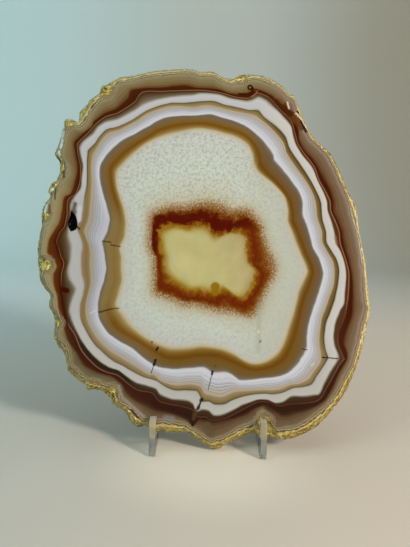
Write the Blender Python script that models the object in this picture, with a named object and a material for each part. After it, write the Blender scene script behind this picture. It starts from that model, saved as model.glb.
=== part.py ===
"""A polished sardonyx slice with a gilded rough rim, upright in its clear easel stand.

Lengths are in millimetres until they reach a mesh, which is in metres. The slice is drawn
flat first: u runs right and v up across its polished front face, and depth runs from the
front face to the back. It then leans back in the stand.
"""

import math

import bmesh
import bpy
import numpy as np

metresPerMm = 0.001

# Slice
sliceThickness = 6.0
leanDegrees = 15.0
faceOrigin = (-2.4, 27.73, 87.62)  # where u = v = 0 of the front face stands, before centring
rimSteps = 248  # points round the slice
flareAtSides = 1.017  # the rim widens behind the front face, about the flare centre
flareCentre = (-0.8, -40.1)
# Each ring of the rim: depth, share of the way from front edge to widest line, lump height
rimRings = (
    (0.0, 0.0, 0.0),
    (1.2, 0.42, 0.3),
    (2.8, 0.8, 0.6),
    (4.6, 1.0, 0.45),
)
backInset = 0.8
seatLine = -82.9  # v of the seat that the rim rests on
seatReach = 4.0  # the rim is kept above the seat this far to each side of a plate's middle
restGap = 0.3

# Vug in the white band
vugPlace = (-65.5, 17.0)
vugRadii = (1.6, 3.4, 4.2)  # across, up and into the stone

# Easel
sheetThickness = 3.0
plateOffset = 25.4  # middle of each side plate, left and right of the stand's middle
lipHeight = 16.8
lipGap = 0.8  # in front of the polished face
restReach = 10.0  # v of the top of the back rest
postWidth = 8.5
footDepth = 85.0
footHeight = 7.0
sweepTop = -48.0  # v that the back edge aims at as it leaves the post
sweepFoot = (44.0, 11.0)  # the point behind and above the lip's foot that it comes from
tightCorner = 0.6
lipCorners = (3.0, 2.2)  # front and back of the lip's top
roundCorner = 3.4
plateBevel = 0.35
upperBarHeight = 14.0
upperBarMiddle = -8.0  # v
upperBarInset = 2.6  # behind the plates' back rest
lowerBarSize = (4.0, 7.0)  # depth and height
lowerBarPlace = 66.0  # behind the lips' fronts
lowerBarLift = 0.6  # above the floor

# The rim's widest line as it is seen behind the polished face, left side first, then over the top
rimOutline = (
    (-80.9, 1), (-80.8, 6), (-80.2, 10), (-79.7, 15), (-80.1, 20), (-79.4, 24.6), (-76.6, 28),
    (-77.6, 31.4), (-76.2, 35), (-73.7, 37.5), (-73.3, 46.6), (-75.1, 49.3), (-73.5, 55.4),
    (-72.5, 61.9), (-71.2, 67.5), (-67.9, 67.8), (-64.7, 66.6), (-64.1, 71.6), (-61.1, 75.1),
    (-57.4, 79.5), (-54.6, 83.3), (-51.8, 86.4), (-47.5, 88.4), (-41.7, 89.9), (-33.8, 92.2),
    (-25, 93.6), (-15.3, 94.7), (-8, 94.5), (-4.8, 93.5), (0, 93.7), (4.5, 91.8), (8.5, 90.4),
    (12.7, 91), (15.2, 92.7), (21.2, 92.6), (25.1, 92.3), (30.5, 90), (35.2, 87.1), (38, 83.5),
    (41, 82.2), (41.9, 78.6), (44.1, 75.2), (45.3, 70.9), (48.2, 64.9), (53.7, 58.3),
    (57.6, 54.9), (61.4, 48.7), (64.4, 42.1), (67.2, 34.9), (70.2, 29.8), (72.2, 22),
    (72.3, 18), (73.5, 11.4), (74.9, 4), (76, -4), (77.1, -14.5), (77.9, -21.8), (76.3, -30.6),
    (73.8, -40.6), (70.2, -51.3), (66.1, -60.6), (61.7, -66.8), (56.4, -73.2), (51, -77.9),
    (45, -81), (39, -82.8), (30.7, -82), (21.7, -80.9), (17.1, -82.9), (12.1, -85.1),
    (7.9, -87.7), (6, -88), (3.6, -87.3), (-0.3, -85), (-4.7, -82.4), (-9, -80.6), (-14, -81.3),
    (-19.7, -80.5), (-23.2, -81.6), (-26, -78.9), (-30.6, -78.9), (-33.7, -76.5), (-35.7, -73.3),
    (-38.5, -70.7), (-42.1, -68.8), (-43.9, -65.7), (-47, -63.1), (-50.8, -62.3),
    (-53.9, -62.6), (-55.6, -60.1), (-59.5, -57.6), (-63.7, -53.8), (-64.9, -49.5),
    (-66.3, -45.2), (-70, -41.5), (-71.1, -35.3), (-71.4, -29.5), (-74.1, -24.1),
    (-73.8, -18.9), (-76.8, -15.5), (-79, -11.4), (-80.1, -5.6),
)

# Edge of the polished front face, where the gilding starts
faceOutline = (
    (-79.5, 0.6), (-79.5, 5), (-78.9, 10), (-78.3, 15), (-76.7, 19), (-76, 26), (-74.6, 31),
    (-72.4, 37), (-70, 41), (-70.2, 46), (-72.4, 50), (-71.2, 61), (-69.4, 65), (-65.6, 64.6),
    (-61.3, 68.8), (-58.7, 73.6), (-55, 78.6), (-50.2, 80.8), (-48.2, 84.6), (-45.6, 88),
    (-37.6, 89.9), (-29.8, 92.1), (-19.2, 93.5), (-10.2, 93.8), (-4.8, 92.6), (-0.2, 92.7),
    (4.4, 90.8), (8.5, 89), (14, 89.1), (17.5, 90.8), (21, 91.6), (24.9, 91.2), (30.2, 89),
    (34.6, 86.1), (37.2, 83), (40.3, 80.9), (41, 78), (43.2, 74.6), (44.2, 71.2), (47, 64.8),
    (52.8, 57.6), (56.7, 54.2), (60.3, 48.2), (62.8, 42.3), (65.5, 36.5), (68.2, 29.5),
    (70.2, 21.8), (71.8, 15.5), (73.3, 9), (74.3, 1.5), (75.1, -10), (76.1, -22), (74.4, -28.5),
    (72.5, -37.5), (70, -47), (66.4, -54.6), (61.4, -63.5), (55.2, -70.4), (47.7, -76),
    (43, -78.3), (34.4, -79.5), (31.8, -76), (29.8, -72.3), (27.8, -71.2), (25.9, -73),
    (25, -76), (22.8, -77), (17, -79.4), (12, -82.4), (4.3, -85.3), (1.6, -84), (-1.6, -82),
    (-5.5, -79.6), (-9.4, -77.8), (-17.2, -77), (-24.6, -76.8), (-29.5, -74.8), (-34, -71.3),
    (-38.6, -68.6), (-40.2, -64.5), (-41.6, -61.6), (-46.5, -60.4), (-51, -59), (-56, -57.7),
    (-62.4, -52.8), (-64, -47.3), (-65.9, -42.4), (-69.2, -39), (-69.2, -33.5), (-68.7, -31),
    (-70.8, -26.2), (-72.6, -22), (-72.6, -18.5), (-75.5, -14.8), (-77.7, -9.4),
    (-75.2, -4.6), (-77, -1.9),
)


def clearScene():
    for item in list(bpy.data.objects):
        bpy.data.objects.remove(item, do_unlink=True)


def makeMaterial(name, colour, roughness, metallic=0.0, clear=False):
    material = bpy.data.materials.new(name)
    material.use_nodes = True
    shader = material.node_tree.nodes["Principled BSDF"]
    shader.inputs["Base Color"].default_value = (*colour, 1.0)
    shader.inputs["Roughness"].default_value = roughness
    shader.inputs["Metallic"].default_value = metallic
    if clear:
        shader.inputs["Transmission Weight"].default_value = 1.0
        shader.inputs["IOR"].default_value = 1.49
    return material


def addObject(name, mesh, material, parent):
    item = bpy.data.objects.new(name, mesh)
    item.data.materials.append(material)
    item.parent = parent
    bpy.context.scene.collection.objects.link(item)
    return item


def radiusAround(outline, angles):
    """Radius of a closed outline about u = v = 0 at each angle, straight between its points."""
    points = np.array(outline, float)
    around = np.arctan2(points[:, 1], points[:, 0])
    return np.interp(angles, around, np.hypot(points[:, 0], points[:, 1]), period=2 * math.pi)


def lumps(angles, depth):
    """Uneven height of the rough rim, from -1 to 1: three waves that slide with depth."""
    waves = np.sin(29 * angles + 1.7 * depth) + np.sin(47 * angles - 2.3 * depth + 0.8)
    return (waves + np.sin(13 * angles + depth + 2.1)) / 3


def sliceRings():
    """Rings of (u, depth, v) from the front edge back: front edge + share * (widest - front)."""
    angles = np.arange(rimSteps) * 2 * math.pi / rimSteps
    across = np.stack([np.cos(angles), np.sin(angles)], axis=1)
    front = across * radiusAround(faceOutline, angles)[:, None]
    seen = across * radiusAround(rimOutline, angles)[:, None]
    centre = np.array(flareCentre)
    widest = centre + (seen - centre) * flareAtSides
    rings = []
    for depth, share, lumpHeight in rimRings:
        ring = front + share * (widest - front)
        ring = ring + across * (lumpHeight * lumps(angles, depth))[:, None]
        rings.append((depth, ring))
    rings.append((sliceThickness, widest - across * backInset))
    lowest = seatLine + restGap
    overPlate = np.abs(np.abs(rings[0][1][:, 0] + faceOrigin[0]) - plateOffset) < seatReach
    for depth, ring in rings:
        ring[overPlate, 1] = np.maximum(ring[overPlate, 1], lowest)
    return rings


def makeSliceMesh():
    form = bmesh.new()
    rows = [
        [form.verts.new((u * metresPerMm, depth * metresPerMm, v * metresPerMm)) for u, v in ring]
        for depth, ring in sliceRings()
    ]
    for near, far in zip(rows, rows[1:]):
        for i in range(rimSteps):
            j = (i + 1) % rimSteps
            form.faces.new((near[i], near[j], far[j], far[i]))
    form.faces.new(rows[0][::-1])
    form.faces.new(rows[-1])
    bmesh.ops.recalc_face_normals(form, faces=form.faces)
    mesh = bpy.data.meshes.new("sardonyx_slice")
    form.to_mesh(mesh)
    form.free()
    mesh.shade_smooth()
    mesh.set_sharp_from_angle(angle=math.radians(35))
    return mesh


def makeVugCutter(parent):
    form = bmesh.new()
    bmesh.ops.create_icosphere(form, subdivisions=3, radius=1.0)
    wide, tall, deep = (size * metresPerMm for size in vugRadii)
    bmesh.ops.scale(form, vec=(wide, deep, tall), verts=form.verts)
    mesh = bpy.data.meshes.new("vug_cutter")
    form.to_mesh(mesh)
    form.free()
    cutter = bpy.data.objects.new("vug_cutter", mesh)
    cutter.location = (vugPlace[0] * metresPerMm, 0, vugPlace[1] * metresPerMm)
    cutter.parent = parent
    cutter.hide_render = True
    cutter.display_type = "WIRE"
    bpy.context.scene.collection.objects.link(cutter)
    return cutter


def inStand(depth, v):
    """A point of the leaning slice's side view as (y, z) of the stand."""
    lean = math.radians(leanDegrees)
    y = faceOrigin[1] + v * math.sin(lean) + depth * math.cos(lean)
    return np.array((y, faceOrigin[2] + v * math.cos(lean) - depth * math.sin(lean)))


def curve(start, towards, back, end, steps=10):
    """Cubic curve from start to end, without its first point."""
    t = np.linspace(0, 1, steps + 1)[1:, None]
    s = 1 - t
    return s**3 * start + 3 * s * s * t * towards + 3 * s * t * t * back + t**3 * end


def corner(before, tip, after, radius, steps=5):
    """A rounded corner at tip: its two ends lie radius away from the tip."""
    start = tip + (before - tip) * radius / np.linalg.norm(before - tip)
    end = tip + (after - tip) * radius / np.linalg.norm(after - tip)
    return np.vstack([[start], curve(start, (start + 2 * tip) / 3, (end + 2 * tip) / 3, end, steps)])


def plateProfile():
    """Side view of one side plate: lip, seat for the slice, back rest, foot, as (y, z)."""
    restDepth = sliceThickness + restGap + 0.1
    seatFront = inStand(-lipGap, seatLine)
    seatBack = inStand(restDepth, seatLine)
    lipBottom = np.array((0.0, 0.0))
    lipFront = np.array((0.0, lipHeight))
    lipBack = inStand(-lipGap, (lipHeight - faceOrigin[2]) / math.cos(math.radians(leanDegrees)))
    restTop = inStand(restDepth, restReach)
    postTop = inStand(restDepth + postWidth, restReach)
    heel = np.array((footDepth, footHeight))
    heelBottom = np.array((footDepth, 0.0))
    sweepStart = inStand(restDepth + postWidth, restReach - postWidth)
    sweepEnd = heel - (postWidth, 0)
    parts = [
        corner(heelBottom, lipBottom, lipFront, tightCorner, 2),
        corner(lipBottom, lipFront, lipBack, lipCorners[0]),
        corner(lipFront, lipBack, seatFront, lipCorners[1]),
        corner(lipBack, seatFront, seatBack, tightCorner, 2),
        corner(seatFront, seatBack, restTop, tightCorner, 2),
        corner(seatBack, restTop, postTop, roundCorner),
        corner(restTop, postTop, sweepStart, roundCorner),
        curve(sweepStart, inStand(restDepth + postWidth, sweepTop), np.array(sweepFoot), sweepEnd, 16),
        corner(sweepEnd, heel, heelBottom, roundCorner),
        corner(heel, heelBottom, lipBottom, tightCorner, 2),
    ]
    return np.vstack(parts)


def makePlateMesh(name):
    form = bmesh.new()
    half = sheetThickness / 2 * metresPerMm
    profile = plateProfile() * metresPerMm
    face = form.faces.new([form.verts.new((-half, y, z)) for y, z in profile])
    grown = bmesh.ops.extrude_face_region(form, geom=[face])
    moved = [item for item in grown["geom"] if isinstance(item, bmesh.types.BMVert)]
    bmesh.ops.translate(form, vec=(2 * half, 0, 0), verts=moved)
    bmesh.ops.recalc_face_normals(form, faces=form.faces)
    mesh = bpy.data.meshes.new(name)
    form.to_mesh(mesh)
    form.free()
    return mesh


def makeBarMesh(name, size):
    """A box of the given width, depth and height about its own middle."""
    form = bmesh.new()
    bmesh.ops.create_cube(form, size=1.0)
    bmesh.ops.scale(form, vec=[length * metresPerMm for length in size], verts=form.verts)
    mesh = bpy.data.meshes.new(name)
    form.to_mesh(mesh)
    form.free()
    return mesh


def addBevel(item, width):
    bevel = item.modifiers.new("polished edges", "BEVEL")
    bevel.width = width * metresPerMm
    bevel.segments = 2
    bevel.limit_method = "ANGLE"
    bevel.angle_limit = math.radians(50)


def addSlice(parent, material):
    piece = addObject("sardonyx_slice", makeSliceMesh(), material, parent)
    piece.location = [length * metresPerMm for length in faceOrigin]
    piece.rotation_euler = (-math.radians(leanDegrees), 0, 0)
    hollow = piece.modifiers.new("vug", "BOOLEAN")
    hollow.operation = "DIFFERENCE"
    hollow.object = makeVugCutter(piece)
    return piece


def addEasel(parent, material):
    pieces = []
    for side, name in ((-1, "stand_left_side"), (1, "stand_right_side")):
        plate = addObject(name, makePlateMesh(name), material, parent)
        plate.location.x = side * plateOffset * metresPerMm
        addBevel(plate, plateBevel)
        pieces.append(plate)
    barLength = 2 * plateOffset - sheetThickness - 2 * restGap
    upperSize = (barLength, sheetThickness, upperBarHeight)
    upper = addObject("stand_upper_bar", makeBarMesh("stand_upper_bar", upperSize), material, parent)
    y, z = inStand(sliceThickness + restGap + upperBarInset + sheetThickness / 2, upperBarMiddle)
    upper.location = (0, y * metresPerMm, z * metresPerMm)
    upper.rotation_euler = (-math.radians(leanDegrees), 0, 0)
    lowerSize = (barLength, *lowerBarSize)
    lower = addObject("stand_lower_bar", makeBarMesh("stand_lower_bar", lowerSize), material, parent)
    lowerMiddle = lowerBarLift + lowerBarSize[1] / 2
    lower.location = (0, lowerBarPlace * metresPerMm, lowerMiddle * metresPerMm)
    for bar in (upper, lower):
        addBevel(bar, plateBevel)
    return pieces + [upper, lower]


def centreOnFloor(base, pieces):
    """Moves the base so that the pieces' box stands on z = 0, centred on x = y = 0."""
    bpy.context.view_layer.update()
    graph = bpy.context.evaluated_depsgraph_get()
    corners = []
    for piece in pieces:
        shown = piece.evaluated_get(graph)
        points = np.array([vertex.co[:] for vertex in shown.data.vertices])
        world = np.array(shown.matrix_world)
        corners.append(points @ world[:3, :3].T + world[:3, 3])
    points = np.vstack(corners)
    low, high = points.min(axis=0), points.max(axis=0)
    base.location = (-(low[0] + high[0]) / 2, -(low[1] + high[1]) / 2, -low[2])


clearScene()
base = bpy.data.objects.new("base", None)
bpy.context.scene.collection.objects.link(base)
stone = makeMaterial("polished sardonyx", (0.42, 0.27, 0.16), 0.12)
acrylic = makeMaterial("clear acrylic", (0.93, 0.95, 0.93), 0.03, clear=True)
allPieces = [addSlice(base, stone)] + addEasel(base, acrylic)
centreOnFloor(base, allPieces)
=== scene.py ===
import math

import bpy
import numpy as np
from mathutils import Matrix, Vector


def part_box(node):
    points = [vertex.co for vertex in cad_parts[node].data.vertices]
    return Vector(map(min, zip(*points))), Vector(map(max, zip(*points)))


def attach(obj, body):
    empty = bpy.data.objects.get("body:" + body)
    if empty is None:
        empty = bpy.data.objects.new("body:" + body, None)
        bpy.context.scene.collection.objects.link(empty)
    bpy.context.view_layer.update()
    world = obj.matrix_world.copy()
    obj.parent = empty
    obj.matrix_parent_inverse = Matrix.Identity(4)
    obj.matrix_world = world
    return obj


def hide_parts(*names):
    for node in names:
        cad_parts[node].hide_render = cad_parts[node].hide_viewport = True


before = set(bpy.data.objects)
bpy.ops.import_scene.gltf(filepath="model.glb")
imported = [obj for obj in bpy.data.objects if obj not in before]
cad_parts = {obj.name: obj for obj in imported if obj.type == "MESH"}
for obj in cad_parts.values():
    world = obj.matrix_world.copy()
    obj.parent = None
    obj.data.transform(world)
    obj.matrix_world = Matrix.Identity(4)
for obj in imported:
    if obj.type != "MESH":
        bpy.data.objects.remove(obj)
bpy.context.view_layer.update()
print("frame loaded")

mm = 0.001
lean = math.radians(15.0)
faceOrigin = (1.58, -14.77, 87.62)  # where u = v = 0 of the polished face stands, in mm


def place(u, v, depth):
    # point = face origin + u to the right + v up the leaning face + depth into the stone
    y = faceOrigin[1] + v * math.sin(lean) + depth * math.cos(lean)
    z = faceOrigin[2] + v * math.cos(lean) - depth * math.sin(lean)
    return np.stack(np.broadcast_arrays(faceOrigin[0] + u, y, z), axis=-1) * mm


def sheetMesh(name, points):
    # a grid of points (row, column, xyz); every row runs once round, each cell becomes one quad
    rows, columns = points.shape[:2]
    index = np.arange(rows * columns).reshape(rows, columns)
    right = np.roll(index, -1, axis=1)
    quads = np.stack([index[:-1], index[1:], right[1:], right[:-1]], axis=-1)
    quads = quads.reshape(-1, 4)
    mesh = bpy.data.meshes.new(name)
    mesh.vertices.add(rows * columns)
    mesh.vertices.foreach_set("co", points.reshape(-1).astype(np.float32))
    mesh.loops.add(quads.size)
    mesh.loops.foreach_set("vertex_index", quads.reshape(-1).astype(np.int32))
    mesh.polygons.add(len(quads))
    mesh.polygons.foreach_set("loop_start", np.arange(0, quads.size, 4, dtype=np.int32))
    mesh.update(calc_edges=True)
    return mesh


def addPiece(name, data):
    # puts a mesh, a lamp or a camera into the scene under this name
    item = bpy.data.objects.new(name, data)
    bpy.context.scene.collection.objects.link(item)
    return item


class Wire:
    # a number on its way through a material: + - * / and their reflected forms add Math nodes
    def __init__(self, board, socket):
        self.board = board
        self.socket = socket

    def __add__(self, other):
        return self.board.maths("ADD", self, other)

    def __sub__(self, other):
        return self.board.maths("SUBTRACT", self, other)

    def __rsub__(self, other):
        return self.board.maths("SUBTRACT", other, self)

    def __mul__(self, other):
        return self.board.maths("MULTIPLY", self, other)

    def __truediv__(self, other):
        return self.board.maths("DIVIDE", self, other)

    def __rtruediv__(self, other):
        return self.board.maths("DIVIDE", other, self)

    __radd__ = __add__
    __rmul__ = __mul__


class Board:
    # the node tree of one material; every method adds nodes and gives back the wire that leaves them
    def __init__(self, name):
        self.material = bpy.data.materials.new(name)
        self.material.use_nodes = True
        self.tree = self.material.node_tree
        self.tree.nodes.clear()

    def node(self, kind, settings=None, values=None, out=0):
        # any node: its settings first, then the values or links of its sockets
        item = self.tree.nodes.new(kind)
        for key, value in (settings or {}).items():
            if key == "stops":
                self.setStops(item.color_ramp, value)
            else:
                setattr(item, key, value)
        for key, value in (values or {}).items():
            if isinstance(value, Wire):
                self.tree.links.new(value.socket, item.inputs[key])
            else:
                item.inputs[key].default_value = value
        return Wire(self, item.outputs[out])

    def setStops(self, ramp, stops):
        # a new ramp has two stops; the rest are added, then all are set from left to right
        while len(ramp.elements) < len(stops):
            ramp.elements.new(1.0)
        for element, (position, colour) in zip(ramp.elements, stops):
            element.position = position
            element.color = colour

    def maths(self, operation, *values):
        # a Math node: operation on one, two or three numbers
        return self.node("ShaderNodeMath", {"operation": operation}, dict(enumerate(values)))

    def step(self, value, low, high):
        # 0 below low, 1 above high, an S curve between
        values = {"Value": value, "From Min": low, "From Max": high}
        return self.node("ShaderNodeMapRange", {"interpolation_type": "SMOOTHSTEP", "clamp": False}, values)

    def mix(self, share, first, second, blend="MIX"):
        # colours: first where share is 0, second where it is 1
        settings = {"data_type": "RGBA", "blend_type": blend}
        return self.node("ShaderNodeMix", settings, {0: share, 6: first, 7: second}, out=2)

    def vector(self, operation, *values, scale=None, out=0):
        # a Vector Math node; out is 1 where it gives a number, such as a length or a dot product
        inputs = dict(enumerate(values))
        if scale is not None:
            inputs["Scale"] = scale
        return self.node("ShaderNodeVectorMath", {"operation": operation}, inputs, out)

    def noise(self, vector, scale, detail=2.0, roughness=0.5):
        # cloudy noise, 0 to 1 about .5; scale is in features for each unit of the vector
        values = {"Vector": vector, "Scale": scale, "Detail": detail, "Roughness": roughness}
        return self.node("ShaderNodeTexNoise", None, values)

    def attribute(self, name, out="Fac"):
        # what addAttribute stored for each vertex
        return self.node("ShaderNodeAttribute", {"attribute_name": name}, out=out)

    def surface(self, values):
        # a Principled BSDF
        return self.node("ShaderNodeBsdfPrincipled", None, values)

    def finish(self, surface, volume=None):
        # the output node; gives back the finished material
        outputs = {"Surface": surface}
        if volume is not None:
            outputs["Volume"] = volume
        item = self.tree.nodes.new("ShaderNodeOutputMaterial")
        for key, value in outputs.items():
            self.tree.links.new(value.socket, item.inputs[key])
        return self.material


def tone(red, green, blue):
    # a colour as it is seen, 0 to 255, as Blender's linear colour
    seen = np.array([red, green, blue]) / 255
    linear = np.where(seen <= 0.04045, seen / 12.92, ((seen + 0.055) / 1.055) ** 2.4)
    return (*[float(x) for x in linear], 1.0)


# the slice's bands: closed lines on the polished face, (u, v) in mm, from the left over the top,
# read off a millimetre grid laid over enlarged crops of the photo

coreEdge = (
    (-20.8, .4), (-22.3, 4.3), (-22.8, 8.7), (-23.2, 14.2), (-21.5, 15.1), (-18.9, 16.1), (-15.8, 16.6),
    (-10.3, 15.4), (-6.1, 16.8), (-.5, 16.3), (1, 14.6), (2, 13.1), (4, 12.1), (6.4, 12), (9.9, 13.7),
    (14.6, 13.9), (17.9, 12.4), (18.8, 10.4), (19.2, 8.1), (18.9, 5.7), (19.7, 1.8), (21, -2.1), (24, -4),
    (23.1, -7.9), (21.7, -12.6), (19.6, -16.5), (17.8, -18.1), (15.2, -18), (11.3, -15), (9.1, -13.9),
    (6.8, -15), (2.3, -15.8), (-3.1, -15.1), (-8.5, -15), (-13.6, -12.5), (-17.5, -9.5), (-20.6, -4.3),
)
redRing = (
    (-23.5, 0), (-25.5, 4), (-26.2, 8), (-26, 12), (-25.8, 16), (-24.5, 20), (-20, 20.5), (-15, 20.5),
    (-10, 20), (-6, 22), (-1, 21.5), (3, 19), (6, 18), (9.5, 17), (11, 15.8), (14, 18.5), (18, 18.7),
    (21.5, 17), (22.5, 12), (23, 8), (24, 4), (23, 0), (25, -4), (27.5, -6), (26.2, -11), (22.9, -16.4),
    (19.2, -21.8), (15.7, -21.9), (12.6, -21.1), (9.1, -17.9), (6.8, -18.9), (4.6, -20.5), (-.2, -19.5),
    (-6.5, -18.5), (-9.6, -19), (-15.4, -15.4), (-22.1, -13.6), (-22.5, -8),
)
haloEdge = (
    (-24.3, 0), (-25.4, 2), (-27.2, 6.7), (-27.1, 11.5), (-27.2, 16.2), (-26.6, 20.6), (-25.1, 22),
    (-20.6, 24.1), (-16, 25.2), (-10.6, 24.9), (-4.4, 26.5), (-2, 27.1), (2.6, 26.7), (7, 25.8),
    (8.6, 24.6), (10.6, 23.8), (15.4, 24.4), (19.7, 23.4), (22.5, 20.5), (25.2, 17.3), (26.1, 12.2),
    (28, 6.5), (30.6, 1.9), (31.9, -2.4), (31.1, -7.1), (29, -11), (27, -15), (24.9, -20.5), (22, -25),
    (19.5, -25.8), (15.1, -24.6), (10.3, -23.6), (6.3, -23.3), (1, -22.1), (-4.3, -20.5), (-9.2, -20.8),
    (-13.7, -19.1), (-18.9, -17.7), (-23.6, -15.2), (-24.2, -13), (-24, -8.5),
)
quartzEdge = (
    (-40.7, 0), (-41.8, 5), (-40.9, 7.5), (-39.8, 10), (-39.4, 15), (-40.3, 22.5), (-42.8, 30), (-44.5, 35),
    (-45, 40.3), (-44.5, 42.9), (-40, 48.5), (-33.6, 54.7), (-27.9, 58.6), (-21.4, 61.2), (-13.7, 63.2),
    (-6.5, 64.8), (.5, 64.2), (7, 62.8), (13.2, 60.8), (18.3, 57.3), (20.9, 52.3), (21.7, 47.1), (25, 42.8),
    (31, 38.1), (36.3, 32.5), (38.2, 26.3), (38.5, 19.1), (41.4, 12), (44.3, 4.9), (47.3, -2.2),
    (47.8, -4.1), (46, -8.9), (43.9, -13.5), (42.5, -20.3), (39.6, -29.9), (37.3, -37.1), (33.8, -43.5),
    (29.7, -46.8), (24.2, -48.4), (18.8, -47.1), (13.2, -43.7), (7.3, -41.7), (-.6, -40.8), (-8.5, -41.7),
    (-16.3, -42), (-24.2, -39.5), (-32.5, -34.4), (-38.9, -27.6), (-42.2, -23), (-41.4, -17.2), (-40, -10),
)
amberLine = (
    (-44.6, 0), (-44.7, 5), (-43.3, 10), (-42.5, 17.5), (-43.9, 25), (-46.4, 32.5), (-47.9, 40.4),
    (-47.9, 44.4), (-44, 49.6), (-38.3, 55), (-30.7, 60.1), (-24.9, 64.1), (-18, 66.3), (-9.6, 67.7),
    (-1.2, 67.7), (5.8, 66.1), (13.2, 64.1), (18.6, 61.3), (22.5, 56.6), (24.7, 50.5), (24.7, 48.3),
    (28.3, 43.6), (34, 38), (39.1, 31), (41, 23.9), (41.4, 19.1), (44.6, 12), (47.1, 5), (50.3, -2.2),
    (50.7, -4.6), (48.7, -11.7), (46.3, -17.9), (44.1, -27.4), (41.5, -37), (38.4, -44.3), (35.3, -47.9),
    (29.4, -50.6), (22.8, -51.5), (17.4, -49.8), (11.4, -47.2), (3.4, -45.1), (-3.7, -45.6), (-11.6, -47),
    (-18.6, -46.6), (-24.2, -43.8), (-32.3, -39.1), (-38.6, -35.8), (-43.2, -32), (-46.2, -27),
    (-46.7, -24.2), (-45.6, -17.2), (-44, -10),
)
lavenderInner = (
    (-49.1, 0), (-50.1, 5), (-50.6, 7.5), (-48.5, 12.5), (-47.6, 17.5), (-49.2, 25), (-51.7, 32.5),
    (-53.1, 37.5), (-53.3, 44.3), (-52.8, 46.6), (-48, 53.6), (-43.2, 58.1), (-36.6, 61.9), (-30.1, 65.8),
    (-26.1, 68.5), (-22.7, 70.1), (-15.1, 71.4), (-6.6, 71.9), (-.5, 72.6), (4.9, 71.3), (11.9, 69.4),
    (17.3, 67), (24.4, 61.5), (29.9, 55), (31.3, 52.7), (31.7, 50.3), (35, 46.5), (40.4, 39.7), (44, 34.5),
    (45.7, 29.8), (46, 22.6), (48.6, 15.6), (50.5, 8.5), (54, 1.5), (55.8, -5.7), (54.2, -12.7),
    (51.8, -20), (49.6, -27.2), (48.2, -34.4), (48, -40.8), (46.3, -44.4), (43.8, -48.4), (40.3, -52),
    (35.6, -54.2), (27.2, -55.5), (19, -56.6), (16.6, -56.5), (13.5, -54.4), (9.9, -53), (4.8, -53.2),
    (-.4, -51), (-6.6, -51.5), (-16, -52.1), (-22.7, -51), (-29.6, -46.8), (-33.5, -43.6), (-42.3, -38.7),
    (-46.7, -35.3), (-49.9, -30.7), (-51.5, -23.6), (-50.8, -17.3), (-48.9, -10), (-48.3, -5),
)
lavenderOuter = (
    (-55.6, 0), (-56.3, 5), (-58.3, 10), (-59, 12.5), (-57.6, 17.5), (-56.9, 25), (-56.7, 35),
    (-56.7, 50.1), (-54.7, 54.6), (-51.8, 59.5), (-50.3, 61), (-43.4, 63.8), (-36.9, 67.6), (-30.4, 72.2),
    (-22.5, 75.3), (-15.9, 76.1), (-8.2, 75.7), (-2.1, 76.8), (3.3, 76), (12.5, 74), (21.4, 72.3),
    (25.5, 69.7), (32.8, 63), (36, 58.7), (37.9, 53.2), (43.7, 44.7), (49.8, 35.4), (51.6, 30.5),
    (53.2, 20.4), (54.9, 15.6), (55.2, 10.6), (57.6, 5.5), (60.3, .8), (61.1, -4.7), (60.7, -10.2),
    (58.3, -17.4), (55.7, -24.6), (54.3, -31.8), (53.9, -39), (54.7, -45.8), (54.3, -47.4), (51.5, -51.3),
    (49.1, -54.9), (44.8, -57.3), (40.1, -58.2), (35.3, -60.2), (26.9, -60.8), (19.4, -61.4), (14.4, -61.9),
    (8.2, -64.2), (3.9, -63.7), (.7, -63), (-1.7, -59.7), (-5.6, -58.9), (-15, -59.3), (-19.8, -57.9),
    (-23.8, -54.9), (-25.8, -54.9), (-31.8, -51.4), (-39.1, -47.3), (-46.9, -42.4), (-51.4, -37.7),
    (-54.4, -33.1), (-56.7, -26.1), (-56.3, -19.4), (-55, -12.5), (-55.1, -7.5),
)
khakiLine = (
    (-60.4, 0), (-60, 5), (-61.4, 10), (-62.8, 13), (-63, 15), (-61.6, 18), (-60.8, 22.5), (-60.2, 30),
    (-59.5, 35), (-59.7, 50.1), (-59.5, 52.9), (-56.7, 55.8), (-54.2, 59.9), (-51.2, 63.2), (-45, 65.2),
    (-38.9, 68.3), (-32.4, 73), (-25.2, 76.3), (-19.9, 77.8), (-12.2, 78.1), (-5.3, 79), (-.3, 79.4),
    (8.2, 77.3), (18.3, 75.2), (23.3, 75.1), (26.5, 71.7), (34, 65.8), (37.1, 61.9), (39.1, 56.4),
    (44.5, 48.3), (51.2, 37.5), (54.4, 30.4), (55.6, 20.3), (57, 15.5), (57.3, 10.5), (60.1, 5.4),
    (62.4, 1.5), (63.5, -4.8), (62.4, -12.7), (60.7, -19.7), (57.9, -27), (56.5, -34.2), (57, -41.3),
    (58.3, -45.3), (56.2, -48.9), (53, -53.6), (50.5, -57.6), (46.3, -59), (41.7, -59.7), (37.4, -61.6),
    (33.4, -62.6), (28.1, -62.5), (19.1, -63.9), (14.1, -65.6), (9.8, -67.8), (5.5, -68.1), (2, -66.8),
    (-.4, -66.9), (-1.8, -64.2), (-3.6, -61.9), (-7.9, -61.8), (-14.2, -61.9), (-18.5, -60.1),
    (-22.5, -57.8), (-29.3, -55.9), (-37.6, -51.7), (-43.7, -48.7), (-48.6, -44.8), (-53.3, -40.2),
    (-56.4, -35.5), (-58.9, -30.8), (-59.9, -23.4), (-58.6, -17.5), (-58.5, -12.5), (-59.8, -7.5),
)
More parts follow.
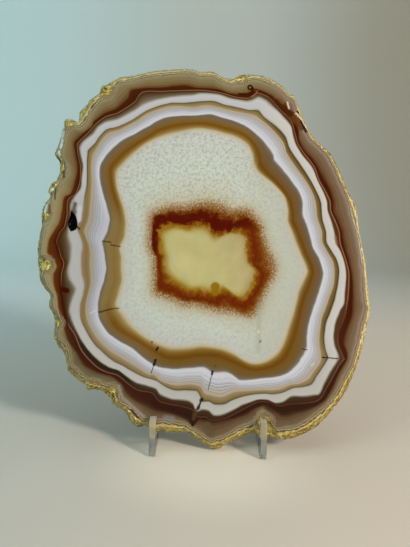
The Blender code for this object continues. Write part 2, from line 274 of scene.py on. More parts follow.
whiteOuter = (
    (-65.6, 0), (-65.7, 5), (-67.2, 10), (-67.3, 16.5), (-66.7, 22), (-66.5, 26), (-65.1, 29.5),
    (-62.5, 33), (-61.9, 40.1), (-61.5, 44.8), (-63.2, 51.6), (-63.6, 54), (-61.9, 57.3), (-57.7, 61),
    (-54.8, 65.1), (-52.5, 66.8), (-44.8, 69.4), (-38.3, 73.2), (-32.1, 77.5), (-24.7, 79.9), (-16.2, 81.5),
    (-9.2, 82.2), (-5, 83.2), (3.2, 82.9), (10.9, 80.7), (17.1, 79.8), (20.2, 80.2), (24.1, 81.9),
    (26.2, 81), (31.3, 76.9), (36, 72.3), (39.8, 67.5), (40.8, 63.2), (42.6, 57.7), (46.1, 52.2),
    (49.9, 47.6), (53.2, 40), (57.5, 30.3), (58.1, 25), (61.1, 15.5), (61.9, 10.4), (64.4, 5.3), (66, .6),
    (66.8, -4.5), (66.2, -14.3), (65.8, -19.6), (63.9, -22.8), (62.3, -26.8), (60.9, -34), (61.3, -38.8),
    (63.2, -45.3), (62.9, -46.2), (60.4, -50), (56.6, -57.1), (54, -62.2), (51.8, -62.6), (47.1, -63.3),
    (40.4, -63.7), (37.6, -65.9), (34.1, -66.8), (29.8, -65.3), (24.6, -65.6), (19.2, -67.6), (14.1, -70.3),
    (7.2, -73.1), (5.2, -73.1), (2.1, -70.8), (-.3, -70.5), (-3.2, -71.5), (-5, -68.1), (-7.8, -66.6),
    (-15.6, -65.9), (-20.4, -64.1), (-22.8, -61.4), (-26.8, -60.2), (-32.9, -58.5), (-39.5, -54),
    (-45.6, -51.8), (-51.3, -48), (-57.4, -41.4), (-61.8, -34), (-64.7, -27), (-63.7, -19.5),
    (-62.5, -15.5), (-63.6, -13.6), (-65.9, -10), (-66.6, -7.5), (-65.9, -2.5),
)
salmonLine = (
    (-70.1, 0), (-71.7, 5), (-72.6, 7), (-71.6, 11), (-69, 15), (-68.3, 20), (-67.9, 28), (-64.5, 31),
    (-63.1, 35), (-62.9, 44.8), (-64.6, 51.9), (-64.6, 56.4), (-61.2, 60.1), (-54.9, 67.5), (-52.2, 69.6),
    (-45.3, 72.3), (-37.6, 77.8), (-35.2, 81.9), (-33.7, 83), (-24, 83.7), (-13.2, 84.4), (-3.9, 84.7),
    (5.5, 83.5), (12.9, 81.5), (17.9, 81.2), (23.7, 84), (27.9, 82.3), (34.6, 75.5), (39.4, 70.8), (42, 63),
    (43.7, 57.7), (47.5, 52.3), (51, 47.7), (54.1, 39.8), (59, 30.3), (59.5, 25), (63.4, 15.4),
    (63.9, 10.4), (67, .6), (68.1, -4.5), (68.1, -9.6), (67.2, -19.6), (66.3, -25), (63.6, -32.2),
    (62.9, -37.4), (65.3, -44.2), (65.9, -45.4), (63.7, -48.1), (61.3, -52.4), (57.6, -59.1), (54.2, -64.5),
    (46, -66.6), (39.5, -67.2), (35.7, -68.1), (30.5, -66.5), (25.3, -66.5), (20.8, -68.7), (15, -72),
    (9.2, -74.7), (4.1, -75.6), (.6, -73.8), (-1.4, -74.2), (-3.2, -73.5), (-5.7, -70.4), (-11.6, -69.1),
    (-20.3, -67.4), (-24.3, -63.4), (-31.5, -62.1), (-40.2, -56), (-46.3, -54.2), (-50.8, -51.9),
    (-57.8, -45), (-61.8, -37.1), (-64.8, -32.8), (-67.6, -24), (-69.3, -14), (-69.5, -9), (-68.6, -3),
)
brownLine = (
    (-76, .5), (-76.9, 2.5), (-76.4, 7.5), (-74.1, 12.5), (-71.6, 17.5), (-70.9, 22), (-70, 29),
    (-67.1, 31), (-64.5, 40), (-64.3, 44.8), (-65.8, 51.5), (-66.1, 57.2), (-62.6, 60.9), (-58.5, 64.6),
    (-57, 67.8), (-52.9, 71.2), (-47, 74.2), (-41, 80), (-39.5, 84), (-35, 84.9), (-24.1, 85.8),
    (-13.2, 87.1), (-7, 86), (3.1, 85.5), (10.1, 83.4), (15.2, 82.8), (18.4, 84), (23.5, 85.4), (29, 83.1),
    (33.2, 79.4), (37.9, 73.9), (40.7, 71.6), (43.2, 65.6), (43.8, 60.4), (46.5, 55), (50.7, 50.4),
    (55.7, 41.5), (59.1, 35.3), (60.4, 30.2), (60.7, 24.9), (64.6, 15.4), (65.4, 10.4), (68.2, .5),
    (69.3, -4.6), (69.8, -18.8), (69.4, -25.1), (66.8, -32.4), (65.6, -37.2), (67.3, -44.4), (66.9, -46),
    (63.7, -51.5), (59.2, -60.9), (56.2, -65.2), (51.1, -68.3), (44, -70.5), (36.9, -72), (32.5, -69.9),
    (27.7, -67.8), (23.5, -69.6), (18.5, -72.6), (10, -75), (4.1, -76.3), (1.5, -75.3), (-1.7, -75),
    (-4.8, -77.9), (-7.6, -75.3), (-15.4, -72.4), (-23.3, -70.7), (-32.3, -67), (-36.6, -63.5),
    (-39, -59.5), (-42.3, -57.1), (-50.8, -54.5), (-57, -51.1), (-60.6, -45.7), (-64.4, -40.7),
    (-67.1, -34), (-69.7, -26.9), (-70.9, -19.8), (-73, -13), (-73.3, -9), (-72, -5), (-74.1, -1.3),
)
faceEdge = (
    (-79.6, 1), (-79.6, 5), (-78.4, 15), (-76.9, 18), (-76, 26), (-74.6, 32), (-72.5, 35), (-72.3, 37.5),
    (-70, 41), (-70, 46), (-72.5, 50), (-72.3, 55), (-71.2, 61), (-69.5, 65), (-66, 64.5), (-63, 66),
    (-58.7, 73.6), (-55, 78.6), (-50.2, 80.8), (-48.3, 84.5), (-45.8, 88), (-41.6, 88.8), (-33.7, 91.2),
    (-25, 92.7), (-15.3, 93.8), (-10.2, 93.9), (-4.8, 92.6), (-.2, 92.7), (4.4, 90.8), (7, 89.4),
    (10.3, 88.8), (15, 89.2), (17.5, 90.8), (21, 91.6), (24.9, 91.2), (30.2, 89), (34.6, 86.1),
    (38.4, 82.2), (40.3, 81), (41.9, 76.8), (44.2, 71.4), (47, 65), (50.5, 60), (56.7, 54.2), (60.3, 48.2),
    (64.2, 39.6), (68.2, 29.5), (70.5, 21), (72.7, 12.5), (74.2, 2.5), (75.1, -10), (75.6, -18),
    (76.2, -22), (74.6, -27), (73.1, -33.5), (71.6, -41), (69.4, -49), (66.4, -54.6), (61.4, -63.5),
    (57.6, -68.2), (52.6, -72.4), (47.7, -76), (43, -78.3), (40, -78.7), (36.5, -79.5), (34.4, -79.5),
    (31.8, -76), (29.8, -72.3), (27.8, -71.2), (25.9, -73), (25, -76), (22.8, -77), (17, -79.4),
    (12, -82.4), (6.7, -84.6), (4.3, -85.3), (1.6, -84), (-1.6, -82), (-5.5, -79.6), (-9.4, -77.8),
    (-17.2, -77), (-24.6, -76.8), (-28.3, -76), (-31.5, -73), (-36.5, -69.6), (-38.6, -68.6),
    (-40.2, -64.5), (-41.4, -61.8), (-46.5, -60.6), (-51, -59), (-56, -57.8), (-60.8, -54), (-62.6, -52.6),
    (-64, -47.3), (-65.9, -42.4), (-69.3, -39), (-69.6, -36), (-68.6, -31), (-70.8, -26.2), (-72.3, -24.5),
    (-72.8, -22), (-72.4, -19), (-75.5, -14.8), (-77.8, -9), (-75, -4.2), (-76.5, -1.8),
)
rimLine = (
    (-80.9, 1.1), (-81, 4.3), (-79.7, 13.8), (-80.1, 20.1), (-79.4, 24.6), (-76.6, 28), (-76.5, 29.7),
    (-77.6, 31.4), (-76.2, 35), (-73.7, 37.5), (-73.3, 47.3), (-75.3, 49.1), (-73.5, 55.4), (-71.5, 64.7),
    (-71.2, 67.5), (-67.9, 67.8), (-64.7, 66.5), (-64.1, 71.6), (-61.1, 75.1), (-59.7, 77.6), (-55.5, 80.8),
    (-53.7, 85.3), (-49.8, 87.1), (-45.6, 89.4), (-37.7, 90.9), (-29.8, 93.1), (-19.2, 94.4), (-10.3, 94.8),
    (-4.8, 93.5), (-.2, 93.7), (4.5, 91.8), (6.9, 90.6), (10.4, 90.4), (14.6, 92.6), (21.2, 92.6),
    (25.1, 92.3), (30.5, 90), (35.2, 87.1), (38.2, 83.3), (40.6, 82.8), (41.8, 79.2), (44.1, 75.2),
    (45.3, 70.9), (48, 65.7), (48.4, 64.1), (53.7, 58.3), (57.6, 54.9), (61.4, 48.7), (64.4, 42.1),
    (67.2, 34.9), (70.2, 29.8), (72.3, 22), (72.1, 19), (73.5, 11.4), (75.4, 1.5), (76.7, -9.4),
    (77.3, -18.5), (77.9, -21.8), (76.3, -30.6), (73.8, -40.6), (70.2, -51.3), (66.1, -60.6), (61.7, -66.8),
    (56.4, -73.2), (51, -77.9), (43.8, -81.5), (40.2, -82.8), (30.7, -82.1), (21.7, -80.9), (17.1, -82.9),
    (12.1, -85.1), (7.9, -87.7), (6, -88), (3.6, -87.3), (-2.7, -83.7), (-6.6, -81.1), (-9, -80.6),
    (-14, -81.3), (-19.7, -80.5), (-23.2, -81.6), (-26.2, -78.4), (-30.6, -78.9), (-33.7, -76.5),
    (-36.8, -71.8), (-42.1, -68.8), (-43.9, -65.7), (-47, -63.1), (-50.8, -62.3), (-54.1, -62.5),
    (-55.6, -60.1), (-59.5, -57.6), (-63.7, -53.8), (-64.9, -49.5), (-66.3, -45.2), (-68.7, -42.9),
    (-70.7, -39.7), (-71.1, -32.5), (-71.6, -28.5), (-74.1, -24.1), (-73.8, -18.9), (-76.8, -15.5),
    (-79, -11.4), (-80.1, -5.6),
)

slab = {
    "name": "polished_sardonyx",
    "steps": 960,  # round the slice
    "thickness": 6.0,
    "flareCentre": (-.8, -40.1),
    "flare": 1.017,  # the rim's widest line stands this much outside the line seen from the front
    "widestDepth": 4.6,
    "backInset": .8,  # the back face's edge stands this much inside the widest line
    "tuckDepth": 1.4,  # and is drawn in over this depth
    "leastRim": .25,  # the rim stands at least this much outside the face
    "leastGap": .16,  # between two bands
    "lumpHeight": .36,
    "lumpSlide": .35,  # the rim's rings sink and rise by this much
    "seed": 11,
}


def ringRadius(points, angles):
    # radius about u = v = 0 at each angle: a cubic through the points that never swings past them
    points = np.array(points, float)
    around = np.arctan2(points[:, 1], points[:, 0]) % (2 * math.pi)
    order = np.argsort(around)
    around, radius = around[order], np.hypot(points[:, 0], points[:, 1])[order]
    around = np.concatenate([around[-3:] - 2 * math.pi, around, around[:3] + 2 * math.pi])
    radius = np.concatenate([radius[-3:], radius, radius[:3]])
    gap = np.diff(around)
    rise = np.diff(radius) / gap
    before, after = rise[:-1], rise[1:]
    climbing = before * after > 0
    weightBefore, weightAfter = 2 * gap[1:] + gap[:-1], gap[1:] + 2 * gap[:-1]
    mean = (weightBefore + weightAfter) / (
        weightBefore / np.where(climbing, before, 1) + weightAfter / np.where(climbing, after, 1))
    slope = np.zeros_like(radius)
    slope[1:-1] = np.where(climbing, mean, 0)
    i = np.searchsorted(around, angles, side="right") - 1
    t = (angles - around[i]) / gap[i]
    ease = t * t * (3 - 2 * t)
    swing = gap[i] * t * (1 - t) * ((1 - t) * slope[i] - t * slope[i + 1])
    return radius[i] * (1 - ease) + radius[i + 1] * ease + swing


def wander(angles, depth, seed, waves=46, low=30, high=210):
    # sum of sines with whole numbers of waves round the slice, so that it closes on itself; about -1 to 1
    dice = np.random.default_rng(seed)
    counts = dice.integers(low, high, waves)[:, None, None]
    slide = dice.uniform(-1.6, 1.6, waves)[:, None, None]
    phase = dice.uniform(0, 2 * math.pi, waves)[:, None, None]
    size = (low / counts) ** .35
    total = (size * np.sin(counts * angles[None, None] + slide * depth[None, :, None] + phase)).sum(axis=0)
    return total / (size.sum() ** .5 * 1.6)


def soften(radius, degrees):
    # blurs a closed line of radii over about this many degrees
    turns = np.arange(len(radius) // 2 + 1)
    return np.fft.irfft(np.fft.rfft(radius) * np.exp(-(turns * math.radians(degrees)) ** 2 / 2), len(radius))


def bandRadii(angles):
    # radius of every band's edge; between two read lines some edges keep a fixed distance in mm
    read = {band: ringRadius(line, angles) for band, line in {
        1: coreEdge, 2: redRing, 3: haloEdge, 5: quartzEdge, 6: amberLine, 7: lavenderInner, 8: lavenderOuter,
        9: khakiLine, 10: whiteOuter, 11: salmonLine, 12: brownLine, 13: faceEdge}.items()}
    radii = dict(read)
    radii[-1] = 0 * angles
    radii[1] = soften(read[1], 1.4)
    radii[0] = soften(read[1] - np.minimum(5, read[1] * .4), 5)
    for band, inner, outer, share, most, fromInner in (
            (3.5, 3, 5, .3, 4, True), (4.5, 3, 5, .3, 4, False), (10.8, 10, 11, .5, .45, False),
            (11.2, 11, 12, .5, .45, True), (12.5, 12, 13, .6, 2.5, False)):
        reach = np.minimum(np.maximum(read[outer] - read[inner], 0) * share, most)
        radii[band] = read[inner] + reach if fromInner else read[outer] - reach
    bands = np.array(sorted(radii))
    stack = np.array([radii[band] for band in bands])
    for k in range(len(bands) - 2, 0, -1):  # a band never crosses the one outside it
        stack[k] = np.minimum(stack[k], stack[k + 1] - slab["leastGap"])
    return bands, stack


def radiusAt(wanted, bands, stack):
    # straight between the two nearest band edges
    k = np.clip(np.searchsorted(bands, wanted, side="right") - 1, 0, len(bands) - 2)
    share = ((wanted - bands[k]) / (bands[k + 1] - bands[k]))[:, None]
    return stack[k] * (1 - share) + stack[k + 1] * share


vug = {  # left and right edges of the pit at these heights, mm on the face
    "heights": (12.6, 13.6, 15, 16.8, 19, 20.8, 22.4),
    "left": (-66.2, -66.9, -67.7, -67.9, -67.4, -66.9, -66.2),
    "right": (-65.0, -63.6, -63.2, -63.2, -63.8, -64.8, -66.1),
    "wall": .45,
    "deep": 4.0,
}


def vugInside(u, v):
    # 0 outside the pit, 1 on its floor, along walls as wide as "wall"
    left = np.interp(v, vug["heights"], vug["left"])
    right = np.interp(v, vug["heights"], vug["right"])
    inside = np.clip(np.minimum(u - left, right - u) / vug["wall"], 0, 1)
    return inside * (v > vug["heights"][0]) * (v < vug["heights"][-1])


def slicePoints():
    # rows of rings: front face from its middle out, round the rim, back face in to its middle
    angles = np.arange(slab["steps"]) * 2 * math.pi / slab["steps"]
    across = np.stack([np.cos(angles), np.sin(angles)], axis=-1)
    bands, stack = bandRadii(angles)
    faceBands = np.concatenate([
        [-.97, -.5, 0, .5], np.linspace(1, 3.25, 10),
        [3.5, 4, 4.5, 4.75, 5, 5.33, 5.66, 6, 6.5, 7, 7.5, 8, 8.5], np.linspace(9, 10.8, 19),
        [11, 11.2, 11.6, 12, 12.25, 12.5, 12.7, 12.85, 12.95, 13]])
    radii = radiusAt(faceBands, bands, stack)
    face = across[None] * radii[..., None]
    inside = vugInside(face[..., 0], face[..., 1])
    front = face[-1]
    seen = across * np.maximum(ringRadius(rimLine, angles), radii[-1] + slab["leastRim"])[:, None]
    centre = np.array(slab["flareCentre"])
    widest = centre + (seen - centre) * slab["flare"]

    rimDepth = np.array([.1, .3, .6, 1, 1.4, 1.9, 2.4, 2.9, 3.4, 3.9, 4.4, 4.8, 5.2, 5.55, 5.8, 5.95])
    share = np.sin(np.clip(rimDepth / slab["widestDepth"], 0, 1) * math.pi / 2) ** .9
    tuck = np.clip((rimDepth - slab["widestDepth"]) / slab["tuckDepth"], 0, 1) ** 2 * slab["backInset"]
    bulge = np.sin(rimDepth / slab["thickness"] * math.pi)[:, None]
    rough = (1 - 2 * np.abs(wander(angles, rimDepth, slab["seed"]))) * bulge ** .5
    rim = front[None] + share[:, None, None] * (widest - front)[None]
    rim = rim + across[None] * (rough * slab["lumpHeight"] - tuck[:, None])[..., None]
    sunk = rimDepth[:, None] + slab["lumpSlide"] * wander(angles, rimDepth, slab["seed"] + 5) * bulge

    backBands = np.array([13, 12.7, 12.5, 12, 11.2, 11, 10.8, 10, 9, 8, 7, 6, 5, 4.5, 3.5, 3, 2, 1, 0, -.97])
    scale = np.linalg.norm(widest - across * slab["backInset"] - centre, axis=1)
    scale = scale / np.linalg.norm(front - centre, axis=1)
    stretch = 1 + (scale - 1) * np.clip((backBands - 11) / 2, 0, 1)[:, None]
    backRadii = radiusAt(backBands, bands, stack)
    back = centre + (across[None] * backRadii[..., None] - centre) * stretch[..., None]

    flat = np.concatenate([face, rim, back])
    depth = np.concatenate([vug["deep"] * np.sqrt(inside), sunk, np.full(back.shape[:2], slab["thickness"])])
    rimBands = 13 + np.clip(rimDepth / slab["thickness"], 0, 1)
    rows = {
        "band": np.concatenate([np.maximum(faceBands, 0), rimBands, np.maximum(backBands, 0)]),
        "inset": np.concatenate([radii[-1] - radii, np.repeat(-rimDepth[:, None], len(angles), axis=1),
                                 radii[-1] - backRadii]),
        "hollow": np.concatenate([inside, np.zeros((len(rimDepth) + len(backBands), len(angles)))]),
    }
    return angles, flat, np.clip(depth, 0, slab["thickness"]), rows


def closePoles(mesh, columns, rows, both=True):
    # the first ring, and the last, is closed with one flat face
    total = len(mesh.loops)
    ends = [np.arange(columns), (rows - 1) * columns + np.arange(columns)[::-1]][:2 if both else 1]
    mesh.loops.add(len(ends) * columns)
    loops = np.empty(len(mesh.loops), np.int32)
    mesh.loops.foreach_get("vertex_index", loops)
    loops[total:] = np.concatenate(ends)
    mesh.loops.foreach_set("vertex_index", loops)
    mesh.polygons.add(len(ends))
    starts = np.empty(len(mesh.polygons), np.int32)
    mesh.polygons.foreach_get("loop_start", starts)
    starts[-len(ends):] = total + columns * np.arange(len(ends))
    mesh.polygons.foreach_set("loop_start", starts)
    mesh.update(calc_edges=True)


def addAttribute(mesh, name, kind, values):
    # one number or vector for each vertex, for the material to read
    layer = mesh.attributes.new(name, kind, "POINT")
    key = "vector" if kind == "FLOAT_VECTOR" else "value"
    layer.data.foreach_set(key, np.asarray(values, np.float32).reshape(-1))


sectors = {  # degrees round the slice, anticlockwise from the right, and the share there
    "right": ((-46, 0), (-30, 1), (62, 1), (76, 0)),
    "bottom": ((236, 0), (252, 1), (314, 1), (330, 0)),
    "left": ((148, 0), (160, 1), (203, 1), (216, 0)),
    "lowLeft": ((203, 0), (216, 1), (238, 1), (254, 0)),
    "salmon": (
        (-58, .15), (-46, .35), (-33, .5), (-27, 0), (-20, .2), (-14, .9), (30, 1), (45, .8), (66, .5),
        (75, .7), (150, .7), (165, .8), (170, .5), (176, .3), (183, .75), (189, .5), (193, 0), (205, 0),
        (208, .8), (228, .7), (240, .3), (262, .2), (290, .2),
    ),
    "gilding": (
        (-60, .62), (-25, .7), (0, .75), (20, .85), (40, .8), (52, .45), (60, .35), (72, .4), (79, .85),
        (82, .85), (86, .3), (99, .35), (101, .75), (103, .3), (118, .3), (120, .9), (124, .9), (126, .5),
        (134, .5), (136, .9), (138, .8), (140, .2), (146, .25), (147.5, .75), (150, .75), (152, .25),
        (155, .8), (158, .7), (160, .25), (164.5, .8), (166.5, .8), (169, .15), (181, .15), (182.5, .9),
        (185, .9), (187, .2), (203, .25), (204.5, .8), (206, .25), (209, .5), (212, .3), (220, .6),
        (224, .45), (228.5, .7), (232, .45), (236, .8), (239, .6), (248, .4), (251, .6), (256, .5),
        (270, .6), (285, .55), (300, .6),
    ),
}


def makeSlice():
    # rings to mesh; band, mm in from the edge, pit and sector shares go along as attributes
    angles, flat, depth, rows = slicePoints()
    rowCount, columns = flat.shape[:2]
    points = place(flat[..., 0], flat[..., 1], depth)
    low, high = (np.array(corner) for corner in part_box("sardonyx_slice"))
    mesh = sheetMesh(slab["name"], np.clip(points, low, high))
    closePoles(mesh, columns, rowCount)
    addAttribute(mesh, "band", "FLOAT", np.repeat(rows["band"], columns))
    addAttribute(mesh, "inset", "FLOAT", rows["inset"])
    addAttribute(mesh, "hollow", "FLOAT", rows["hollow"])
    degrees = np.degrees(angles)
    share = {part: np.interp(degrees, *np.array(turns, float).T, period=360)
             for part, turns in sectors.items()}
    for name, parts in (("sides", ("right", "bottom", "left")), ("shares", ("lowLeft", "salmon", "gilding"))):
        vectors = np.stack([share[part] for part in parts], axis=-1)
        addAttribute(mesh, name, "FLOAT_VECTOR", np.tile(vectors, (rowCount, 1)))
    mesh.shade_smooth()
    mesh.set_sharp_from_angle(angle=math.radians(50))
    item = addPiece(slab["name"], mesh)
    mesh.materials.append(stoneMaterial())
    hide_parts("sardonyx_slice")
    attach(item, "root")


# the stone's colours as they are seen, by band number, set against colours read from the photo

coreColours = (
    (0, (178, 171, 120)), (.3, (173, 163, 106)), (.55, (162, 142, 76)), (.8, (144, 112, 38)),
    (1.0, (126, 84, 12)), (1.25, (120, 68, 8)), (1.5, (110, 50, 4)), (1.7, (100, 36, 2)),
    (1.95, (98, 34, 2)), (2.2, (102, 44, 3)), (2.5, (112, 58, 10)), (2.75, (122, 76, 24)),
    (2.95, (136, 98, 54)), (3.1, (144, 118, 82)), (3.25, (162, 146, 120)), (3.45, (174, 168, 148)),
    (3.65, (180, 182, 171)), (4.0, (182, 189, 183)), (4.8, (178, 180, 177)), (5.0, (180, 170, 144)),
)
amberColours = (
    (5.0, (180, 170, 144)), (5.12, (166, 152, 118)), (5.3, (144, 120, 74)), (5.6, (122, 92, 38)),
    (5.85, (112, 76, 14)), (6.05, (108, 72, 14)), (6.2, (116, 84, 36)), (6.5, (114, 90, 54)),
    (6.8, (108, 92, 70)), (6.93, (106, 100, 92)), (6.99, (150, 148, 152)), (7.06, (194, 195, 204)),
    (7.3, (190, 192, 204)), (7.5, (182, 184, 194)), (7.7, (176, 177, 182)), (7.88, (172, 165, 160)),
    (8.0, (168, 152, 128)),
)
outsideTop = (
    (8.0, (178, 164, 142)), (8.14, (150, 132, 98)), (8.5, (132, 114, 76)), (8.75, (118, 102, 64)),
    (8.9, (88, 74, 42)), (8.98, (96, 86, 60)), (9.05, (166, 164, 164)), (9.2, (178, 177, 184)),
    (9.75, (182, 182, 188)), (9.92, (158, 155, 152)), (10.12, (114, 103, 86)), (10.4, (92, 74, 52)),
    (10.75, (64, 44, 24)), (11.2, (58, 26, 6)), (11.6, (66, 26, 4)), (11.95, (74, 32, 8)),
    (12.05, (96, 70, 38)), (12.2, (112, 94, 60)), (12.5, (126, 114, 84)), (13.0, (136, 130, 102)),
)
outsideRight = (
    (8.0, (176, 162, 148)), (8.07, (144, 125, 98)), (8.2, (116, 97, 62)), (8.55, (102, 82, 44)),
    (8.85, (74, 58, 26)), (8.95, (78, 62, 34)), (9.03, (154, 149, 142)), (9.14, (184, 182, 181)),
    (9.86, (188, 187, 186)), (9.97, (144, 133, 122)), (10.1, (74, 52, 28)), (10.6, (74, 44, 24)),
    (10.8, (84, 46, 28)), (11.2, (62, 24, 4)), (11.8, (58, 18, 0)), (12.0, (72, 30, 8)),
    (12.05, (84, 50, 28)), (12.16, (96, 70, 48)), (12.32, (106, 84, 60)), (12.5, (112, 92, 72)),
    (12.7, (118, 102, 86)), (13.0, (124, 110, 88)),
)
outsideBottom = (
    (8.0, (166, 157, 142)), (8.14, (142, 126, 98)), (8.5, (128, 112, 78)), (8.75, (116, 98, 60)),
    (8.9, (90, 74, 44)), (8.98, (98, 86, 62)), (9.05, (160, 158, 156)), (9.2, (170, 169, 167)),
    (9.85, (176, 175, 172)), (9.98, (128, 119, 108)), (10.16, (60, 42, 26)), (10.6, (52, 30, 13)),
    (10.8, (52, 25, 8)), (11.2, (46, 14, 2)), (11.7, (40, 12, 0)), (12.0, (56, 28, 10)),
    (12.15, (84, 60, 38)), (12.4, (98, 78, 58)), (12.7, (112, 96, 78)), (13.0, (118, 102, 76)),
)
outsideLeft = (
    (8.0, (166, 160, 142)), (8.2, (138, 120, 86)), (8.5, (124, 104, 66)), (8.75, (134, 112, 80)),
    (8.93, (144, 118, 92)), (8.99, (150, 138, 124)), (9.05, (162, 160, 162)), (9.2, (172, 171, 174)),
    (9.8, (174, 172, 176)), (9.96, (148, 144, 142)), (10.1, (112, 102, 86)), (10.3, (86, 70, 46)),
    (10.6, (68, 44, 20)), (11.0, (56, 14, 0)), (11.25, (64, 18, 0)), (11.5, (80, 36, 6)),
    (11.9, (92, 46, 12)), (11.98, (114, 74, 38)), (12.1, (132, 112, 74)), (12.5, (142, 132, 98)),
    (13.0, (144, 138, 106)),
)
outsideLowLeft = (
    (8.0, (168, 160, 148)), (8.14, (146, 131, 104)), (8.5, (132, 116, 84)), (8.75, (122, 100, 68)),
    (8.92, (110, 84, 58)), (8.99, (124, 112, 98)), (9.05, (166, 164, 164)), (9.2, (176, 175, 176)),
    (9.85, (178, 176, 174)), (9.98, (114, 104, 92)), (10.1, (36, 26, 10)), (10.55, (34, 24, 10)),
    (10.8, (46, 32, 18)), (11.15, (60, 20, 6)), (11.4, (54, 14, 2)), (11.8, (62, 26, 8)),
    (12.0, (80, 52, 28)), (12.15, (92, 78, 52)), (12.5, (104, 94, 70)), (13.0, (116, 106, 82)),
)
# close lines in the outer half of the lavender zone; the third number is how much of one shows
lavenderLines = (
    (7.0, (150, 146, 164), 0), (7.24, (150, 146, 164), 0), (7.3, (138, 136, 160), .4),
    (7.36, (150, 146, 164), 0), (7.46, (140, 138, 150), .1), (7.52, (120, 118, 138), .55),
    (7.58, (160, 158, 160), .1), (7.64, (112, 108, 116), .65), (7.69, (170, 168, 166), .2),
    (7.75, (116, 104, 98), .6), (7.8, (166, 160, 148), .2), (7.86, (116, 102, 84), .5),
    (7.92, (150, 136, 114), .2), (8.0, (150, 136, 114), 0),
)
# thin lines that follow the gilded edge, by mm in from it
edgeLines = (
    (0, (200, 188, 128), .9), (.35, (186, 172, 118), .9), (.6, (66, 48, 24), .95),
    (.85, (120, 104, 72), .8), (1.1, (182, 170, 134), .75), (1.35, (150, 136, 102), .6),
    (1.6, (72, 54, 32), .95), (1.9, (142, 128, 98), .5), (2.2, (156, 142, 114), .4),
    (2.8, (150, 138, 110), 0),
)
# on the right the first two stops are a painted highlight, cream where the edge catches the light; the lines
# after them are the stone's own
rightLines = (
    (0, (226, 212, 152), .95), (.3, (206, 190, 138), .9), (.55, (84, 56, 30), .9),
    (.85, (146, 126, 92), .7), (1.25, (150, 134, 106), .6), (1.6, (98, 72, 50), .8),
    (1.85, (122, 102, 88), .7), (2.2, (142, 126, 120), .9), (2.7, (134, 116, 106), .7),
    (3.2, (128, 108, 88), 0),
)
knobLines = (
    (0, (212, 188, 96), 1), (.25, (80, 58, 24), 1), (.6, (160, 146, 104), .9), (1.0, (84, 66, 40), .85),
    (1.4, (150, 138, 110), .8), (1.8, (100, 84, 60), .7), (2.2, (144, 132, 110), .5),
    (3.0, (140, 130, 110), 0),
)
# the rim, from its creases to its highest grains: bare rock, and gilding; both are dark in the creases as
# painted shade and near white on the highest grains as painted highlight
rockColours = ((.32, (78, 62, 32)), (.42, (146, 130, 82)), (.56, (184, 170, 120)), (.68, (228, 216, 164)))
goldColours = (
    (.36, (70, 48, 16)), (.42, (130, 102, 38)), (.5, (196, 172, 86)), (.6, (234, 218, 144)),
    (.7, (255, 250, 218)),
)
knobs = (  # gilded tufts at the edge: centre and radius, mm
    (-51.9, 83.4, 2.4), (-69.6, 66.2, 1.5), (-73.2, 44, 1.5), (-76.2, 33, 1.3), (-78.4, 20, 1.2),
    (-77.6, -4.2, 2.6), (-70.2, -31.8, 1.2), (-62.6, -55.4, 1.4), (-51.4, -60.8, 1.2), (-43, -63, 1.5),
    (15, 91.2, 1.4), (28.6, -75.6, 2.7),
)
